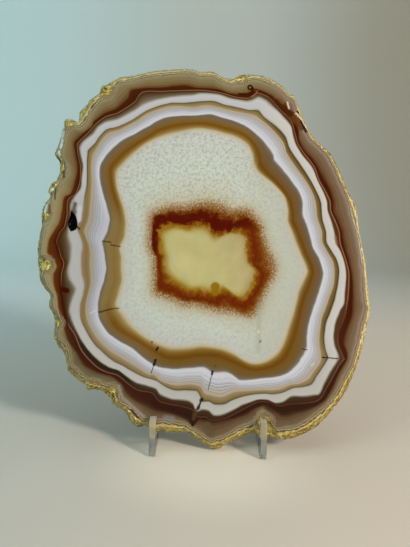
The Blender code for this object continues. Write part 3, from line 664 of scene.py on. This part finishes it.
# marks on the face: colour, how much of it shows, then straight pieces: start, end, half width, fading
marks = (
    ((200, 188, 140), .4, ((-13.5, -2), (-11, -1), 1, 8)),
    ((156, 166, 132), .35, ((-17.7, 4), (-17.3, -1), .2, 1.2), ((-17.3, -1), (-14.7, -5), .2, 1.2)),
    ((134, 100, 0), .95, ((4.2, -12.9), (4.2, -12.7), 1.6, 1.1), ((4.3, -13.5), (4.5, -16), .6, 1.2)),
    ((78, 8, 0), .8, ((3.2, 20), (3.5, 15.4), .7, 1.1), ((10.3, 17), (10.5, 15), .8, .9)),
    ((150, 152, 142), .4, ((25.3, -21), (25.3, -43), .4, 1.4)),
    ((104, 102, 92), .7, ((26.2, -38), (26.1, -38.4), .3, .5)),
    ((214, 214, 206), .5, ((25.3, -33.5), (25.3, -33.8), .3, .5), ((-55, -27), (-52.5, -25.5), .05, .4),
     ((50.2, -48.9), (51.5, -48), .1, .4)),
    ((194, 193, 208), .7, ((-62.3, 18), (-62.1, 24), .6, .9)),
    ((72, 50, 26), .85, ((-65.6, 19), (-65.2, 22), .7, 1.5), ((-65.2, 22), (-64.6, 26), .2, 1.5),
     ((-3.7, -71.3), (-4.4, -74.8), .4, 1.0)),
    ((40, 24, 12), .85, ((-64.2, 15.8), (-62.1, 13.7), .25, .6)),
    ((58, 8, 0), 1, ((-68.4, -15.8), (-66.4, -16.4), .8, .8)),
    ((60, 34, 10), .75, ((-50.5, 7.9), (-46.5, 7.5), .15, .45), ((-46.3, 6.2), (-42, 5.5), .15, .45),
     ((-50.7, -26.3), (-44.9, -24.6), .2, .45), ((-44.9, -24.6), (-41.6, -24.2), .1, .5)),
    ((104, 64, 24), .75, ((33.5, 81), (37.4, 77.6), .3, 1.2)),
    ((90, 50, 16), .9, ((39.4, 73.6), (42.8, 70), 1.2, 1.5), ((42.8, 70), (44.9, 66.6), .6, 1.5)),
    ((66, 26, 4), .95, ((22, 85.9), (25.7, 84.6), .2, .4), ((25.7, 84.6), (29.2, 82.5), .3, .4),
     ((29.2, 82.5), (32.2, 80), .5, .6), ((32.2, 80), (35.7, 77), .7, .8),
     ((35.7, 77), (39.4, 73.6), .9, 1.1)),
    ((140, 96, 66), .7, ((20.3, 81.9), (22, 83.3), .1, .4), ((22, 83.3), (22.8, 85), .1, .4)),
    ((58, 18, 0), 1, ((14, 83.2), (18.3, 83.1), .45, .5), ((18.3, 83.1), (20.3, 84.3), .5, .5),
     ((20.3, 84.3), (20.7, 86.2), .5, .4)),
    ((146, 104, 74), .6, ((61.5, 13), (62.3, 9.5), .1, .9)),
    ((58, 30, 8), .7, ((36.7, 79), (37.5, 76.2), .15, .5)),
    ((220, 208, 182), .75, ((37.9, 79.6), (38.7, 76.6), .1, .6)),
    ((148, 134, 130), .7, ((-40, -60.6), (-38, -65.8), .2, .7), ((-38, -65.8), (-32.2, -70.7), .3, .7),
     ((-32.2, -70.7), (-27.8, -74.3), .3, .7)),
    ((128, 127, 129), .6, ((-17.5, -74.8), (-14.5, -75.2), .2, 2.2)),
    ((84, 72, 48), .6, ((2, -78), (3.4, -81), 1.4, 1.4)),
    ((108, 56, 16), .85, ((-25.1, -39.8), (-25, -39.7), .35, .4), ((5.1, -50.1), (5, -50.3), .3, .4)),
    ((26, 15, 8), .95, ((-22.9, -43.5), (-22.2, -42.3), .35, .35),
     ((-23.1, -48.2), (-23.8, -50.4), .45, .4),
     ((-23.9, -50.8), (-25, -54.3), .04, .35), ((3.9, -52.8), (3.6, -54.1), .4, .35),
     ((3.6, -54), (2, -61.5), .02, .3),
     ((-.9, -65.9), (-1.1, -66.3), .65, .4), ((-1.2, -66.5), (-2.2, -69.4), .25, .35),
     ((-2.2, -69.2), (-2.6, -70.1), .55, .4), ((55.6, -45), (62.6, -45.4), .1, .35),
     ((46, -41.4), (48.4, -41.6), .08, .35),
     ((-4.7, -76.4), (-4.8, -77.9), .3, .4)),
)
rimMarksAndGlints = (  # the same, but over the rim too: dark chips and cracks, pale worn places, and white glints that are painted highlights
    ((24, 5, 2), .95, ((44.8, 69.8), (46.1, 67.5), .45, .4), ((46.1, 67.5), (47.3, 65.2), .6, .4),
     ((43.1, 74.8), (43.2, 74.6), .5, .4)),
    ((54, 44, 24), .85, ((-74.9, 49.6), (-73.2, 47.4), .25, .4), ((-71, 42.4), (-70.7, 39), .3, .5),
     ((-74.5, 33), (-74.5, 28), .2, .4), ((-79.9, 20.5), (-80.3, 16.6), .15, .3)),
    ((112, 54, 22), .8, ((-77.1, 24.6), (-76.7, 21.4), .5, .5)),
    ((84, 30, 12), .85, ((-33.4, -71.6), (-31.8, -74.2), .4, .5), ((-31.8, -74.4), (-30.2, -74.8), .3, .4)),
    ((204, 186, 160), .85, ((42.3, 74), (44.9, 71.4), .35, .4), ((45.5, 70.9), (48.1, 66.6), .35, .35)),
    # painted highlights: white glints where the gilded rim catches the light
    ((226, 242, 238), .95, ((-72.2, 62), (-73.1, 54), .55, .3), ((-74.1, 51.8), (-73.5, 50.3), .5, .4),
     ((-77, 32.6), (-75.9, 33.2), .4, .4), ((-78.7, 25.6), (-79.4, 21.6), .4, .4)),
)


def ramp(board, value, low, high, colours):
    # stops by band number or by mm; a third number is how much of the colour shows
    stops = [((stop[0] - low) / (high - low), (*tone(*stop[1])[:3], stop[2] if len(stop) > 2 else 1.0))
             for stop in colours]
    shade = board.node("ShaderNodeValToRGB", {"stops": stops}, {0: (value - low) / (high - low)})
    return shade, Wire(board, shade.socket.node.outputs[1])


def split(board, vector):
    # the x, y and z of a vector
    parts = board.node("ShaderNodeSeparateXYZ", None, {0: vector})
    return [Wire(board, socket) for socket in parts.socket.node.outputs]


def grey(board, value):
    # a number as a colour with that red, green and blue
    return board.node("ShaderNodeCombineColor", None, {0: value, 1: value, 2: value})


def streak(board, flat, start, end, width, soft):
    # 1 within width of the straight line from start to end, fading to 0 over soft
    first = Vector((start[0], 0, start[1]))
    along = Vector((end[0], 0, end[1])) - first
    ahead = along / along.length_squared
    travel = board.vector("DOT_PRODUCT", flat, ahead, out=1) - first.dot(ahead)
    travel = board.maths("MINIMUM", board.maths("MAXIMUM", travel, 0), 1)
    nearest = board.vector("ADD", board.vector("SCALE", along, scale=travel), first)
    return 1 - board.step(board.vector("DISTANCE", flat, nearest, out=1), width, width + soft)


def largest(board, wires, operation="MAXIMUM"):
    # the largest of many numbers, or with MINIMUM the smallest
    total = wires[0]
    for wire in wires[1:]:
        total = board.maths(operation, total, wire)
    return total


stone = {
    "ior": 1.54,
    "specular": .2,
    "faceRoughness": .12,
    "rimRoughness": .2,  # on top of the face's
    "goldMetal": .75,
    # near black for the pit: painted shade in the hollow
    "pit": (6, 5, 5),
    "curl": ((19.3, 0, 86.8), 1.0),  # a small ring on the face: its middle and radius, mm
    "curlPaint": (40, 10, 0),
    "grit": ((28.4, -73), (28.8, -79), 1.6, 1.6),
    "gritPaint": (112, 104, 84),
}


def stoneMaterial():
    # band number, bent a little by noise, runs the ramps; marks, edge lines and the gilded rim go over them
    board = Board("banded sardonyx")
    position = board.node("ShaderNodeTexCoord", out=3)
    shift = -(Matrix.Rotation(lean, 3, "X") @ Vector(faceOrigin))
    where = board.node("ShaderNodeMapping", {"vector_type": "POINT"}, {
        "Vector": position, "Location": shift, "Rotation": (lean, 0, 0), "Scale": (1000, 1000, 1000)})
    flat = board.vector("MULTIPLY", where, (1, 0, 1))
    across, depth, upward = split(board, where)
    band, inset, hollow = (board.attribute(name) for name in ("band", "inset", "hollow"))
    right, bottom, left = split(board, board.attribute("sides", "Vector"))
    lowLeft, salmon, gilding = split(board, board.attribute("shares", "Vector"))

    slow = board.noise(flat, .2, 2) - .5
    ragged = board.noise(flat, .9, 3, .6) - .5
    lumps = board.noise(flat, .42, 2, .5) - .5
    fine = board.noise(flat, 1.0, 4, .68) - .5
    halo = board.step(band, .5, 1.2) * (1 - board.step(band, 2.6, 3.3))
    fringe = board.step(band, 1.9, 2.9) * (1 - board.step(band, 3.2, 3.6))
    wavy = band + slow * .10 + ragged * .05 + (lumps * 1.2 + ragged * .7) * halo + fine * fringe * 1.5

    core, _ = ramp(board, wavy, 0, 5, coreColours)
    north = board.step(upward - across * .3, 7, 14)
    redder = board.step(wavy, 1.15, 1.5) * (1 - board.step(wavy, 2.1, 2.8)) * north
    core = board.mix(redder * .9, core, tone(76, 8, 0))
    glow = board.step(wavy, .35, .95) * board.step(board.noise(flat, .16, 2, .5), .42, .6)
    glow = glow * (1 - board.step(wavy, 1.0, 1.25))
    core = board.mix(glow * .8, core, tone(142, 104, 20))
    middle = 1 - board.step(wavy, .6, 1.0)
    core = board.mix(board.step(across + upward * .5, 2, 18) * middle * .7, core, tone(168, 154, 114))
    cloud = board.noise(flat, .11, 3, .6) - .5
    core = board.mix(1.0, core, grey(board, 1 + cloud * middle * .4), "MULTIPLY")
    amber, _ = ramp(board, wavy, 5, 8, amberColours)
    wood = board.step(wavy, 5.1, 5.5) * (1 - board.step(wavy, 6.6, 6.95))
    amber = board.mix(wood * left * .55, amber, tone(138, 120, 76))
    amber = board.mix(wood * bottom, amber, board.mix(1.0, amber, (.84, .78, .45, 1), "MULTIPLY"))
    amber = board.mix(wood * right, amber, board.mix(1.0, amber, (.82, .8, .9, 1), "MULTIPLY"))
    lavender = board.step(wavy, 7.0, 7.08) * left
    amber = board.mix(lavender, amber, board.mix(1.0, amber, (.84, .85, .88, 1), "MULTIPLY"))
    outside, _ = ramp(board, wavy, 8, 13, outsideTop)
    for share, colours in (
            (right, outsideRight), (bottom, outsideBottom), (left, outsideLeft), (lowLeft, outsideLowLeft)):
        shade, _ = ramp(board, wavy, 8, 13, colours)
        outside = board.mix(share, outside, shade)
    colour = board.mix(board.step(wavy, 4.98, 5.02), core, amber)
    colour = board.mix(board.step(wavy, 7.98, 8.02), colour, outside)
    shade, show = ramp(board, wavy + slow * .1, 7, 8, lavenderLines)
    colour = board.mix(show * (1 - right * .2 - left * .35), colour, shade)

    # salmon line inside the dark band, grains round the halo
    line = board.step(wavy, 10.84, 10.96) * (1 - board.step(wavy, 11.04, 11.15))
    colour = board.mix(line * salmon, colour, tone(144, 98, 68))
    specks = board.noise(flat, 1.5, 3, .7)
    outward = board.step(band, 2.6, 2.9) * (1 - board.step(band, 3.3, 3.75))
    darkGrains = board.step(specks - (band - 3.0) * .12, .53, .6)
    colour = board.mix(darkGrains * outward * .7, colour, tone(112, 74, 36))
    colour = board.mix((1 - board.step(specks, .38, .44)) * outward * .5, colour, tone(206, 200, 184))

    # light and dark: growth lines along the bands, mottled quartz
    growth = board.node("ShaderNodeTexNoise", {"noise_dimensions": "1D"}, {
        "W": wavy * 13 + slow * .8, "Scale": 1.0, "Detail": 3.0, "Roughness": .65}) - .5
    quartz = board.step(wavy, 3.1, 3.35) * (1 - board.step(wavy, 4.8, 5.0))
    worms = board.node("ShaderNodeTexNoise", None, {
        "Vector": flat, "Scale": .7, "Detail": 3.0, "Roughness": .65, "Distortion": .4})
    mottle = (board.step(worms, .36, .56) - .6) * (board.step(upward, 0, 45) * .16 + .15)
    light = 1 + growth * (board.step(wavy, 5.0, 6.2) + board.step(wavy, 11, 12)) * .24 + mottle * quartz
    colour = board.mix(1.0, colour, grey(board, light), "MULTIPLY")
    colour = board.mix(quartz * board.step(across, 5, 35) * .5, colour, tone(170, 170, 156))

    # lines that follow the gilded edge and its tufts; on the right they reach further over the rim, bringing
    # their painted highlight with them
    fromEdge = inset + right * board.step(upward, -62, -30) * .6 + .8
    edge = fromEdge + (board.noise(flat, .4, 4, .65) - .5) * 2.2
    onFace = board.step(fromEdge, -.3, 0)
    for share, lines in ((1 - right, edgeLines), (right, rightLines)):
        shade, show = ramp(board, edge, 0, 4, lines)
        colour = board.mix(show * share * onFace * (1 - left * .5), colour, shade)
    bent = board.vector("ADD", flat, board.vector("SCALE", (1.0, 0, .8), scale=ragged * 1.1))
    tuft = largest(board, [
        board.vector("LENGTH", board.vector("SUBTRACT", bent, Vector((u, 0, v))), out=1) - radius
        for u, v, radius in knobs], "MINIMUM") + (board.noise(flat, .5, 3, .6) - .5) * 2.2
    shade, show = ramp(board, tuft, 0, 4, knobLines)
    colour = board.mix(show * onFace, colour, shade)
    for paint, share, *pieces in marks:
        shade = largest(board, [streak(board, bent, *piece) for piece in pieces])
        colour = board.mix(shade * onFace * share, colour, tone(*paint))
    curl = board.vector("DISTANCE", flat, stone["curl"][0], out=1) - stone["curl"][1]
    curl = 1 - board.step(board.maths("ABSOLUTE", curl), .3, .6)
    colour = board.mix(curl, colour, tone(*stone["curlPaint"]))

    # the rough rim: gilded rock, its grain drawn out along the edge
    length = board.vector("SCALE", board.vector("NORMALIZE", flat), scale=82)
    grainAt = board.vector("ADD", length, board.vector("SCALE", (0, 1.0, 0), scale=inset * 2.2))
    crumple = board.noise(grainAt, .62, 5, .7)
    rough = 1 - board.step(fromEdge + (board.noise(flat, .8, 3, .6) - .5) * .8, -.2, .05)
    rough = board.maths("MAXIMUM", rough, 1 - board.step(tuft, -.1, .15))
    shine = board.step(gilding + (crumple - .5) * 1.8, .32, .6)
    shine = board.maths("MAXIMUM", shine, 1 - board.step(tuft, .2, .6))
    rock, gold = (board.node("ShaderNodeValToRGB", {
        "stops": [(height, tone(*paint)) for height, paint in colours]}, {0: crumple})
        for colours in (rockColours, goldColours))
    # painted highlight: on the right the gilding turns cream where it catches the light
    lit = right * board.step(upward, -46, -30) * (1 - board.step(upward, 20, 38))
    gold = board.mix(lit * .6, gold, tone(246, 234, 196))
    scribble = board.maths("PINGPONG", board.noise(flat, .5, 3, .6) * 5, .5)
    scribble = (1 - board.step(scribble, .02, .12)) * board.step(crumple, .36, .5)
    colour = board.mix(rough, colour, board.mix(shine, rock, gold))
    colour = board.mix(rough * scribble * .75, colour, tone(92, 58, 24))
    frontHalf = 1 - board.step(depth, 2.4, 3.4)
    for paint, share, *pieces in rimMarksAndGlints:
        shade = largest(board, [streak(board, bent, *piece) for piece in pieces])
        colour = board.mix(shade * frontHalf * share, colour, tone(*paint))
    grit = streak(board, flat, *stone["grit"]) * board.step(board.noise(flat, 1.0, 3, .6), .4, .6)
    colour = board.mix(grit * .8, colour, tone(*stone["gritPaint"]))
    # painted shade: the pit's floor and walls are painted near black
    colour = board.mix(board.step(hollow, .02, .3), colour, tone(*stone["pit"]))
    bump = board.node("ShaderNodeBump", None, {
        "Strength": 1.0, "Distance": mm, "Height": crumple * (1 - board.step(fromEdge, -.3, .1))})
    return board.finish(board.surface({
        "Base Color": colour,
        "Roughness": rough * stone["rimRoughness"] + stone["faceRoughness"],
        "Metallic": rough * shine * stone["goldMetal"],
        "IOR": stone["ior"],
        "Specular IOR Level": stone["specular"],
        "Normal": bump,
    }))


easel = {  # mm; depths are behind the polished face, heights "v" are up along it
    "sheet": 3.0,
    "edgeRound": .4,
    "edgeSteps": 4,
    "footHalf": 42.5,  # front and back of the foot
    "heelHeight": 7.0,
    "lipHeight": 16.8,
    "slotDepths": (-.8, 6.4),  # the lip's back and the back rest's front
    "postDepth": 14.9,
    "seatV": -82.9,
    "topV": 10,
    "corners": (.6, 3.0, 2.2, .6, .6, 3.4, 3.4),  # radii from the foot's front over lip and seat to the post
    "heelCorners": (3.4, .6),
    "sweepV": (1.5, -48),  # where the post starts to curve back, and what it curves towards
    "sweepPull": (1.5, 11.0),
    "sweepEnd": 34.0,
    "sweepSteps": 26,
    "plates": {"easel_left": ("stand_left_side", -21.42), "easel_right": ("stand_right_side", 29.38)},
    "tint": (.9, .9, .86),
    "density": 3.0,
    # cream of the sawn edges' diffuse layer: painted light caught inside the sheet
    "paintedEdgeLight": (.84, .8, .64),
    "ior": 1.49,
}


def inStand(depth, v):
    # side view (y, z) of a point of the leaning slice
    return np.array((faceOrigin[1] + v * math.sin(lean) + depth * math.cos(lean),
                     faceOrigin[2] + v * math.cos(lean) - depth * math.sin(lean)))


def cubic(start, towards, back, end, steps):
    # cubic curve from start to end: it leaves for one point and comes in from another
    t = np.linspace(0, 1, steps + 1)[:, None]
    return (1 - t) ** 3 * start + 3 * (1 - t) ** 2 * t * towards + 3 * (1 - t) * t * t * back + t ** 3 * end


def roundCorner(before, tip, after, radius):
    # from radius mm short of the tip to radius mm past it, in fewer steps where it is small
    steps = 4 if radius < 1 else 8
    start = tip + (before - tip) * radius / np.linalg.norm(before - tip)
    end = tip + (after - tip) * radius / np.linalg.norm(after - tip)
    return cubic(start, start + (tip - start) * .6, end + (tip - end) * .6, end, steps)


def plateProfile():
    # lip, seat, back rest, post, sweep and foot, counted from the front corner at the floor
    foot, heel, lip = easel["footHalf"], easel["heelHeight"], easel["lipHeight"]
    (slotFront, slotBack), post = easel["slotDepths"], easel["postDepth"]
    seat, top, (sweepTop, sweepAim) = easel["seatV"], easel["topV"], easel["sweepV"]
    heelTop, heelBottom = np.array((foot, heel)), np.array((foot, 0.0))
    lipBottom, sweepEnd = np.array((-foot, 0.0)), np.array((easel["sweepEnd"], heel))
    lipBack = inStand(slotFront, (lip - faceOrigin[2]) / math.cos(lean))
    tips = [
        heelBottom, lipBottom, np.array((-foot, lip)), lipBack, inStand(slotFront, seat),
        inStand(slotBack, seat), inStand(slotBack, top), inStand(post, top), inStand(post, sweepTop)]
    upper = [roundCorner(*tips[k:k + 3], radius) for k, radius in enumerate(easel["corners"])]
    pull = np.array(easel["sweepPull"])
    sweep = cubic(tips[-1], inStand(post, sweepAim), pull, sweepEnd, easel["sweepSteps"])
    tips = [sweepEnd, heelTop, heelBottom, lipBottom]
    lower = [roundCorner(*tips[k:k + 3], radius) for k, radius in enumerate(easel["heelCorners"])]
    return np.vstack([*upper, sweep[1:], *lower])


def makePlate(name, node, middle, material):
    # the profile is carried across the sheet; near each side it draws in along a quarter circle
    profile = plateProfile()
    ahead = np.roll(profile, -1, axis=0) - profile
    behind = profile - np.roll(profile, 1, axis=0)
    along = ahead / np.linalg.norm(ahead, axis=1)[:, None] + behind / np.linalg.norm(behind, axis=1)[:, None]
    along = along / np.linalg.norm(along, axis=1)[:, None]
    inward = np.stack([along[:, 1], -along[:, 0]], axis=-1)
    turn = np.linspace(0, math.pi / 2, easel["edgeSteps"] + 1)
    radius, half = easel["edgeRound"], easel["sheet"] / 2
    x = np.concatenate([-half + radius * (1 - np.cos(turn)), half - radius * (1 - np.cos(turn))[::-1]])
    draw = np.concatenate([radius * (1 - np.sin(turn)), radius * (1 - np.sin(turn))[::-1]])
    ring = profile[None] + inward[None] * draw[:, None, None]
    x = np.broadcast_to(x[:, None, None] + middle, ring.shape[:2] + (1,))
    mesh = sheetMesh(name, np.concatenate([x, ring], axis=-1) * mm)
    closePoles(mesh, len(profile), len(ring))
    mesh.shade_smooth()
    mesh.set_sharp_from_angle(angle=math.radians(30))
    item = addPiece(name, mesh)
    mesh.materials.append(material)
    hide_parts(node)
    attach(item, "root")


def acrylicMaterial(name, sheetAxis):
    # the sheet faces are polished, the sawn edges satin, with a cream diffuse layer mixed in as painted light
    # caught inside the sheet; the axis is across the sheet
    board = Board(name)
    facing = board.vector("DOT_PRODUCT", board.node("ShaderNodeTexCoord", out=1), sheetAxis, out=1)
    sheetFace = board.step(board.maths("ABSOLUTE", facing), .5, .9)
    cloud = board.noise(board.node("ShaderNodeTexCoord", out=3), 160, 3)
    absorb = board.node("ShaderNodeVolumeAbsorption", None, {
        "Color": (*easel["tint"], 1), "Density": easel["density"]})
    clear = board.surface({
        "Base Color": (1, 1, 1, 1), "Roughness": (1 - sheetFace) * (cloud * .3 + .15) + .02,
        "IOR": easel["ior"], "Transmission Weight": 1.0})
    # a cream diffuse layer on the sawn edges: painted light standing in for light caught inside the sheet
    paintedEdgeLight = board.surface({"Base Color": (*easel["paintedEdgeLight"], 1), "Roughness": .5, "IOR": easel["ior"]})
    share = (1 - sheetFace) * (cloud * .5 - .12)
    sheet = board.node("ShaderNodeMixShader", None, {0: share, 1: clear, 2: paintedEdgeLight})
    return board.finish(sheet, volume=absorb)


room = {
    # the floor's and wall's left-to-right colours are painted light and shade
    "floor": ((190, 188, 180), (205, 192, 179)),  # left, right
    "floorFade": (-.12, .08),  # where the left turns into the right, m
    "paintedLightPool": (223, 214, 199),
    "paintedLightPoolAt": (.005, -.045, 0),  # middle of the painted pool of light on the floor round the easel's foot, m
    "paintedLightPoolFade": (.01, .06),  # and how far from it that starts to fade and is gone
    "wall": ((202, 228, 232), (203, 207, 204), (172, 165, 152)),  # left, middle, right
    "wallFades": ((-.4, .03), (.03, .4)),
    "wallStarts": (.05, .6),
    "radius": 1.05,
    "bend": .4,
    "middle": .02,
    "height": (1.5, .36),  # at the back and sides, in front
    "below": .0003,  # clear of the sheets' lower edges
    "steps": 96,
    "floorRings": 11,
    "bendRings": 24,
}


def makeRoom():
    # floor, then a quarter circle, then an upright wall: one profile turned all the way round
    around = np.arange(room["steps"]) * 2 * math.pi / room["steps"]
    front = np.clip((-np.sin(around) - .55) / .25, 0, 1)
    wallTop = room["height"][0] * (1 - front) + room["height"][1] * front
    turn = np.linspace(0, math.pi / 2, room["bendRings"])
    bend, rings = room["bend"], room["floorRings"]
    flatPart = room["radius"] - bend
    flatRadii = np.linspace(room["middle"], flatPart, rings + 1)[:-1]
    radius = np.concatenate([flatRadii, flatPart + bend * np.sin(turn), [room["radius"]]])[:, None]
    rise = np.concatenate([np.zeros(rings), bend * (1 - np.cos(turn)), [max(room["height"])]])
    z = np.minimum(rise[:, None], wallTop[None]) - room["below"]
    grid = np.stack(np.broadcast_arrays(radius * np.cos(around), radius * np.sin(around), z), axis=-1)
    mesh = sheetMesh("studio_sweep", grid)
    closePoles(mesh, len(around), len(radius), both=False)
    mesh.shade_smooth()
    item = addPiece("studio_sweep", mesh)
    mesh.materials.append(paperMaterial())


def paperMaterial():
    # floor and wall each shade from left to right as painted light and shade: the wall teal-bright on the
    # left and darker on the right, the floor greyer on the left; the floor has a painted pool of light round
    # the easel's foot
    board = Board("studio paper")
    position = board.node("ShaderNodeTexCoord", out=3)
    side, away, _ = split(board, position)
    floor = board.mix(board.step(side, *room["floorFade"]), *(tone(*paint) for paint in room["floor"]))
    # painted pool of light on the floor round the easel's foot
    fromFoot = board.vector("DISTANCE", position, room["paintedLightPoolAt"], out=1)
    floor = board.mix(1 - board.step(fromFoot, *room["paintedLightPoolFade"]), floor, tone(*room["paintedLightPool"]))
    wall = tone(*room["wall"][0])
    for fade, paint in zip(room["wallFades"], room["wall"][1:]):
        wall = board.mix(board.step(side, *fade), wall, tone(*paint))
    # on the left the wall colour comes forward over the floor: a painted teal shadow
    upright = board.step(away - board.maths("MINIMUM", side, 0) * .8, *room["wallStarts"])
    return board.finish(board.surface({
        "Base Color": board.mix(upright, floor, wall), "Roughness": .9, "IOR": 1.3}))


lamps = {  # where it hangs, what it faces, width and height, watts, colour
    "key_right": ((.62, -.66, .5), (0, 0, .08), (.17, .17), 8.2, (1.0, .91, .8)),
    "fill_left": ((-.76, -.5, .6), (0, 0, .09), (.6, .7), 2.4, (.6, .93, 1.0)),
    "back_wash": ((-.1, .35, 1.2), (-.05, .95, .3), (1.0, .4), 1.6, (.92, 1, 1)),
    "ceiling": ((0, -.15, 1.25), (0, 0, 0), (1.2, 1.0), 3.5, (.84, .97, 1)),
}
air = {"colour": (.7, .8, .82, 1), "strength": .15}


def addLight(name, at, aim, size, power, colour):
    # a rectangle of light; its -Z is turned from where it hangs towards what it faces
    lamp = bpy.data.lights.new(name, "AREA")
    lamp.shape = "RECTANGLE"
    lamp.size, lamp.size_y = size
    lamp.energy = power
    lamp.color = colour
    item = addPiece(name, lamp)
    item.location = at
    item.rotation_euler = (Vector(aim) - Vector(at)).to_track_quat("-Z", "Y").to_euler()


def makeLights():
    # the lamps, and a little even light from all round
    for name, values in lamps.items():
        addLight(name, *values)
    world = bpy.data.worlds.new("studio air")
    world.use_nodes = True
    backdrop = world.node_tree.nodes["Background"].inputs
    backdrop[0].default_value = air["colour"]
    backdrop[1].default_value = air["strength"]
    bpy.context.scene.world = world


view = {
    "lens": 41.0,
    "clip": (.01, 20),
    "at": (.00078, -.3115, .1256),
    "down": 8.54,  # degrees below level
    "roll": 1.4,  # degrees
}


def makeCamera():
    # rolled about its own axis, tipped up from looking straight down, then moved to its place
    lens = bpy.data.cameras.new("camera")
    lens.lens = view["lens"]
    lens.clip_start, lens.clip_end = view["clip"]
    item = addPiece("camera", lens)
    pitch = Matrix.Rotation(math.radians(90 - view["down"]), 4, "X")
    roll = Matrix.Rotation(math.radians(view["roll"]), 4, "Z")
    item.matrix_world = Matrix.Translation(view["at"]) @ pitch @ roll
    bpy.context.scene.camera = item


makeCamera()
makeRoom()
makeLights()
bpy.context.scene.view_settings.view_transform = "Standard"
print("camera, room and lights set")
makeSlice()
print("slice made")
acrylic = acrylicMaterial("clear acrylic", (1, 0, 0))
barAcrylic = acrylicMaterial("clear acrylic bar", (0, 1, 0))
for pieceName, (nodeName, middleX) in easel["plates"].items():
    makePlate(pieceName, nodeName, middleX, acrylic)
for nodeName in ("stand_upper_bar", "stand_lower_bar"):
    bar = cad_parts[nodeName]
    bar.data.materials.clear()
    bar.data.materials.append(barAcrylic)
print("easel made")
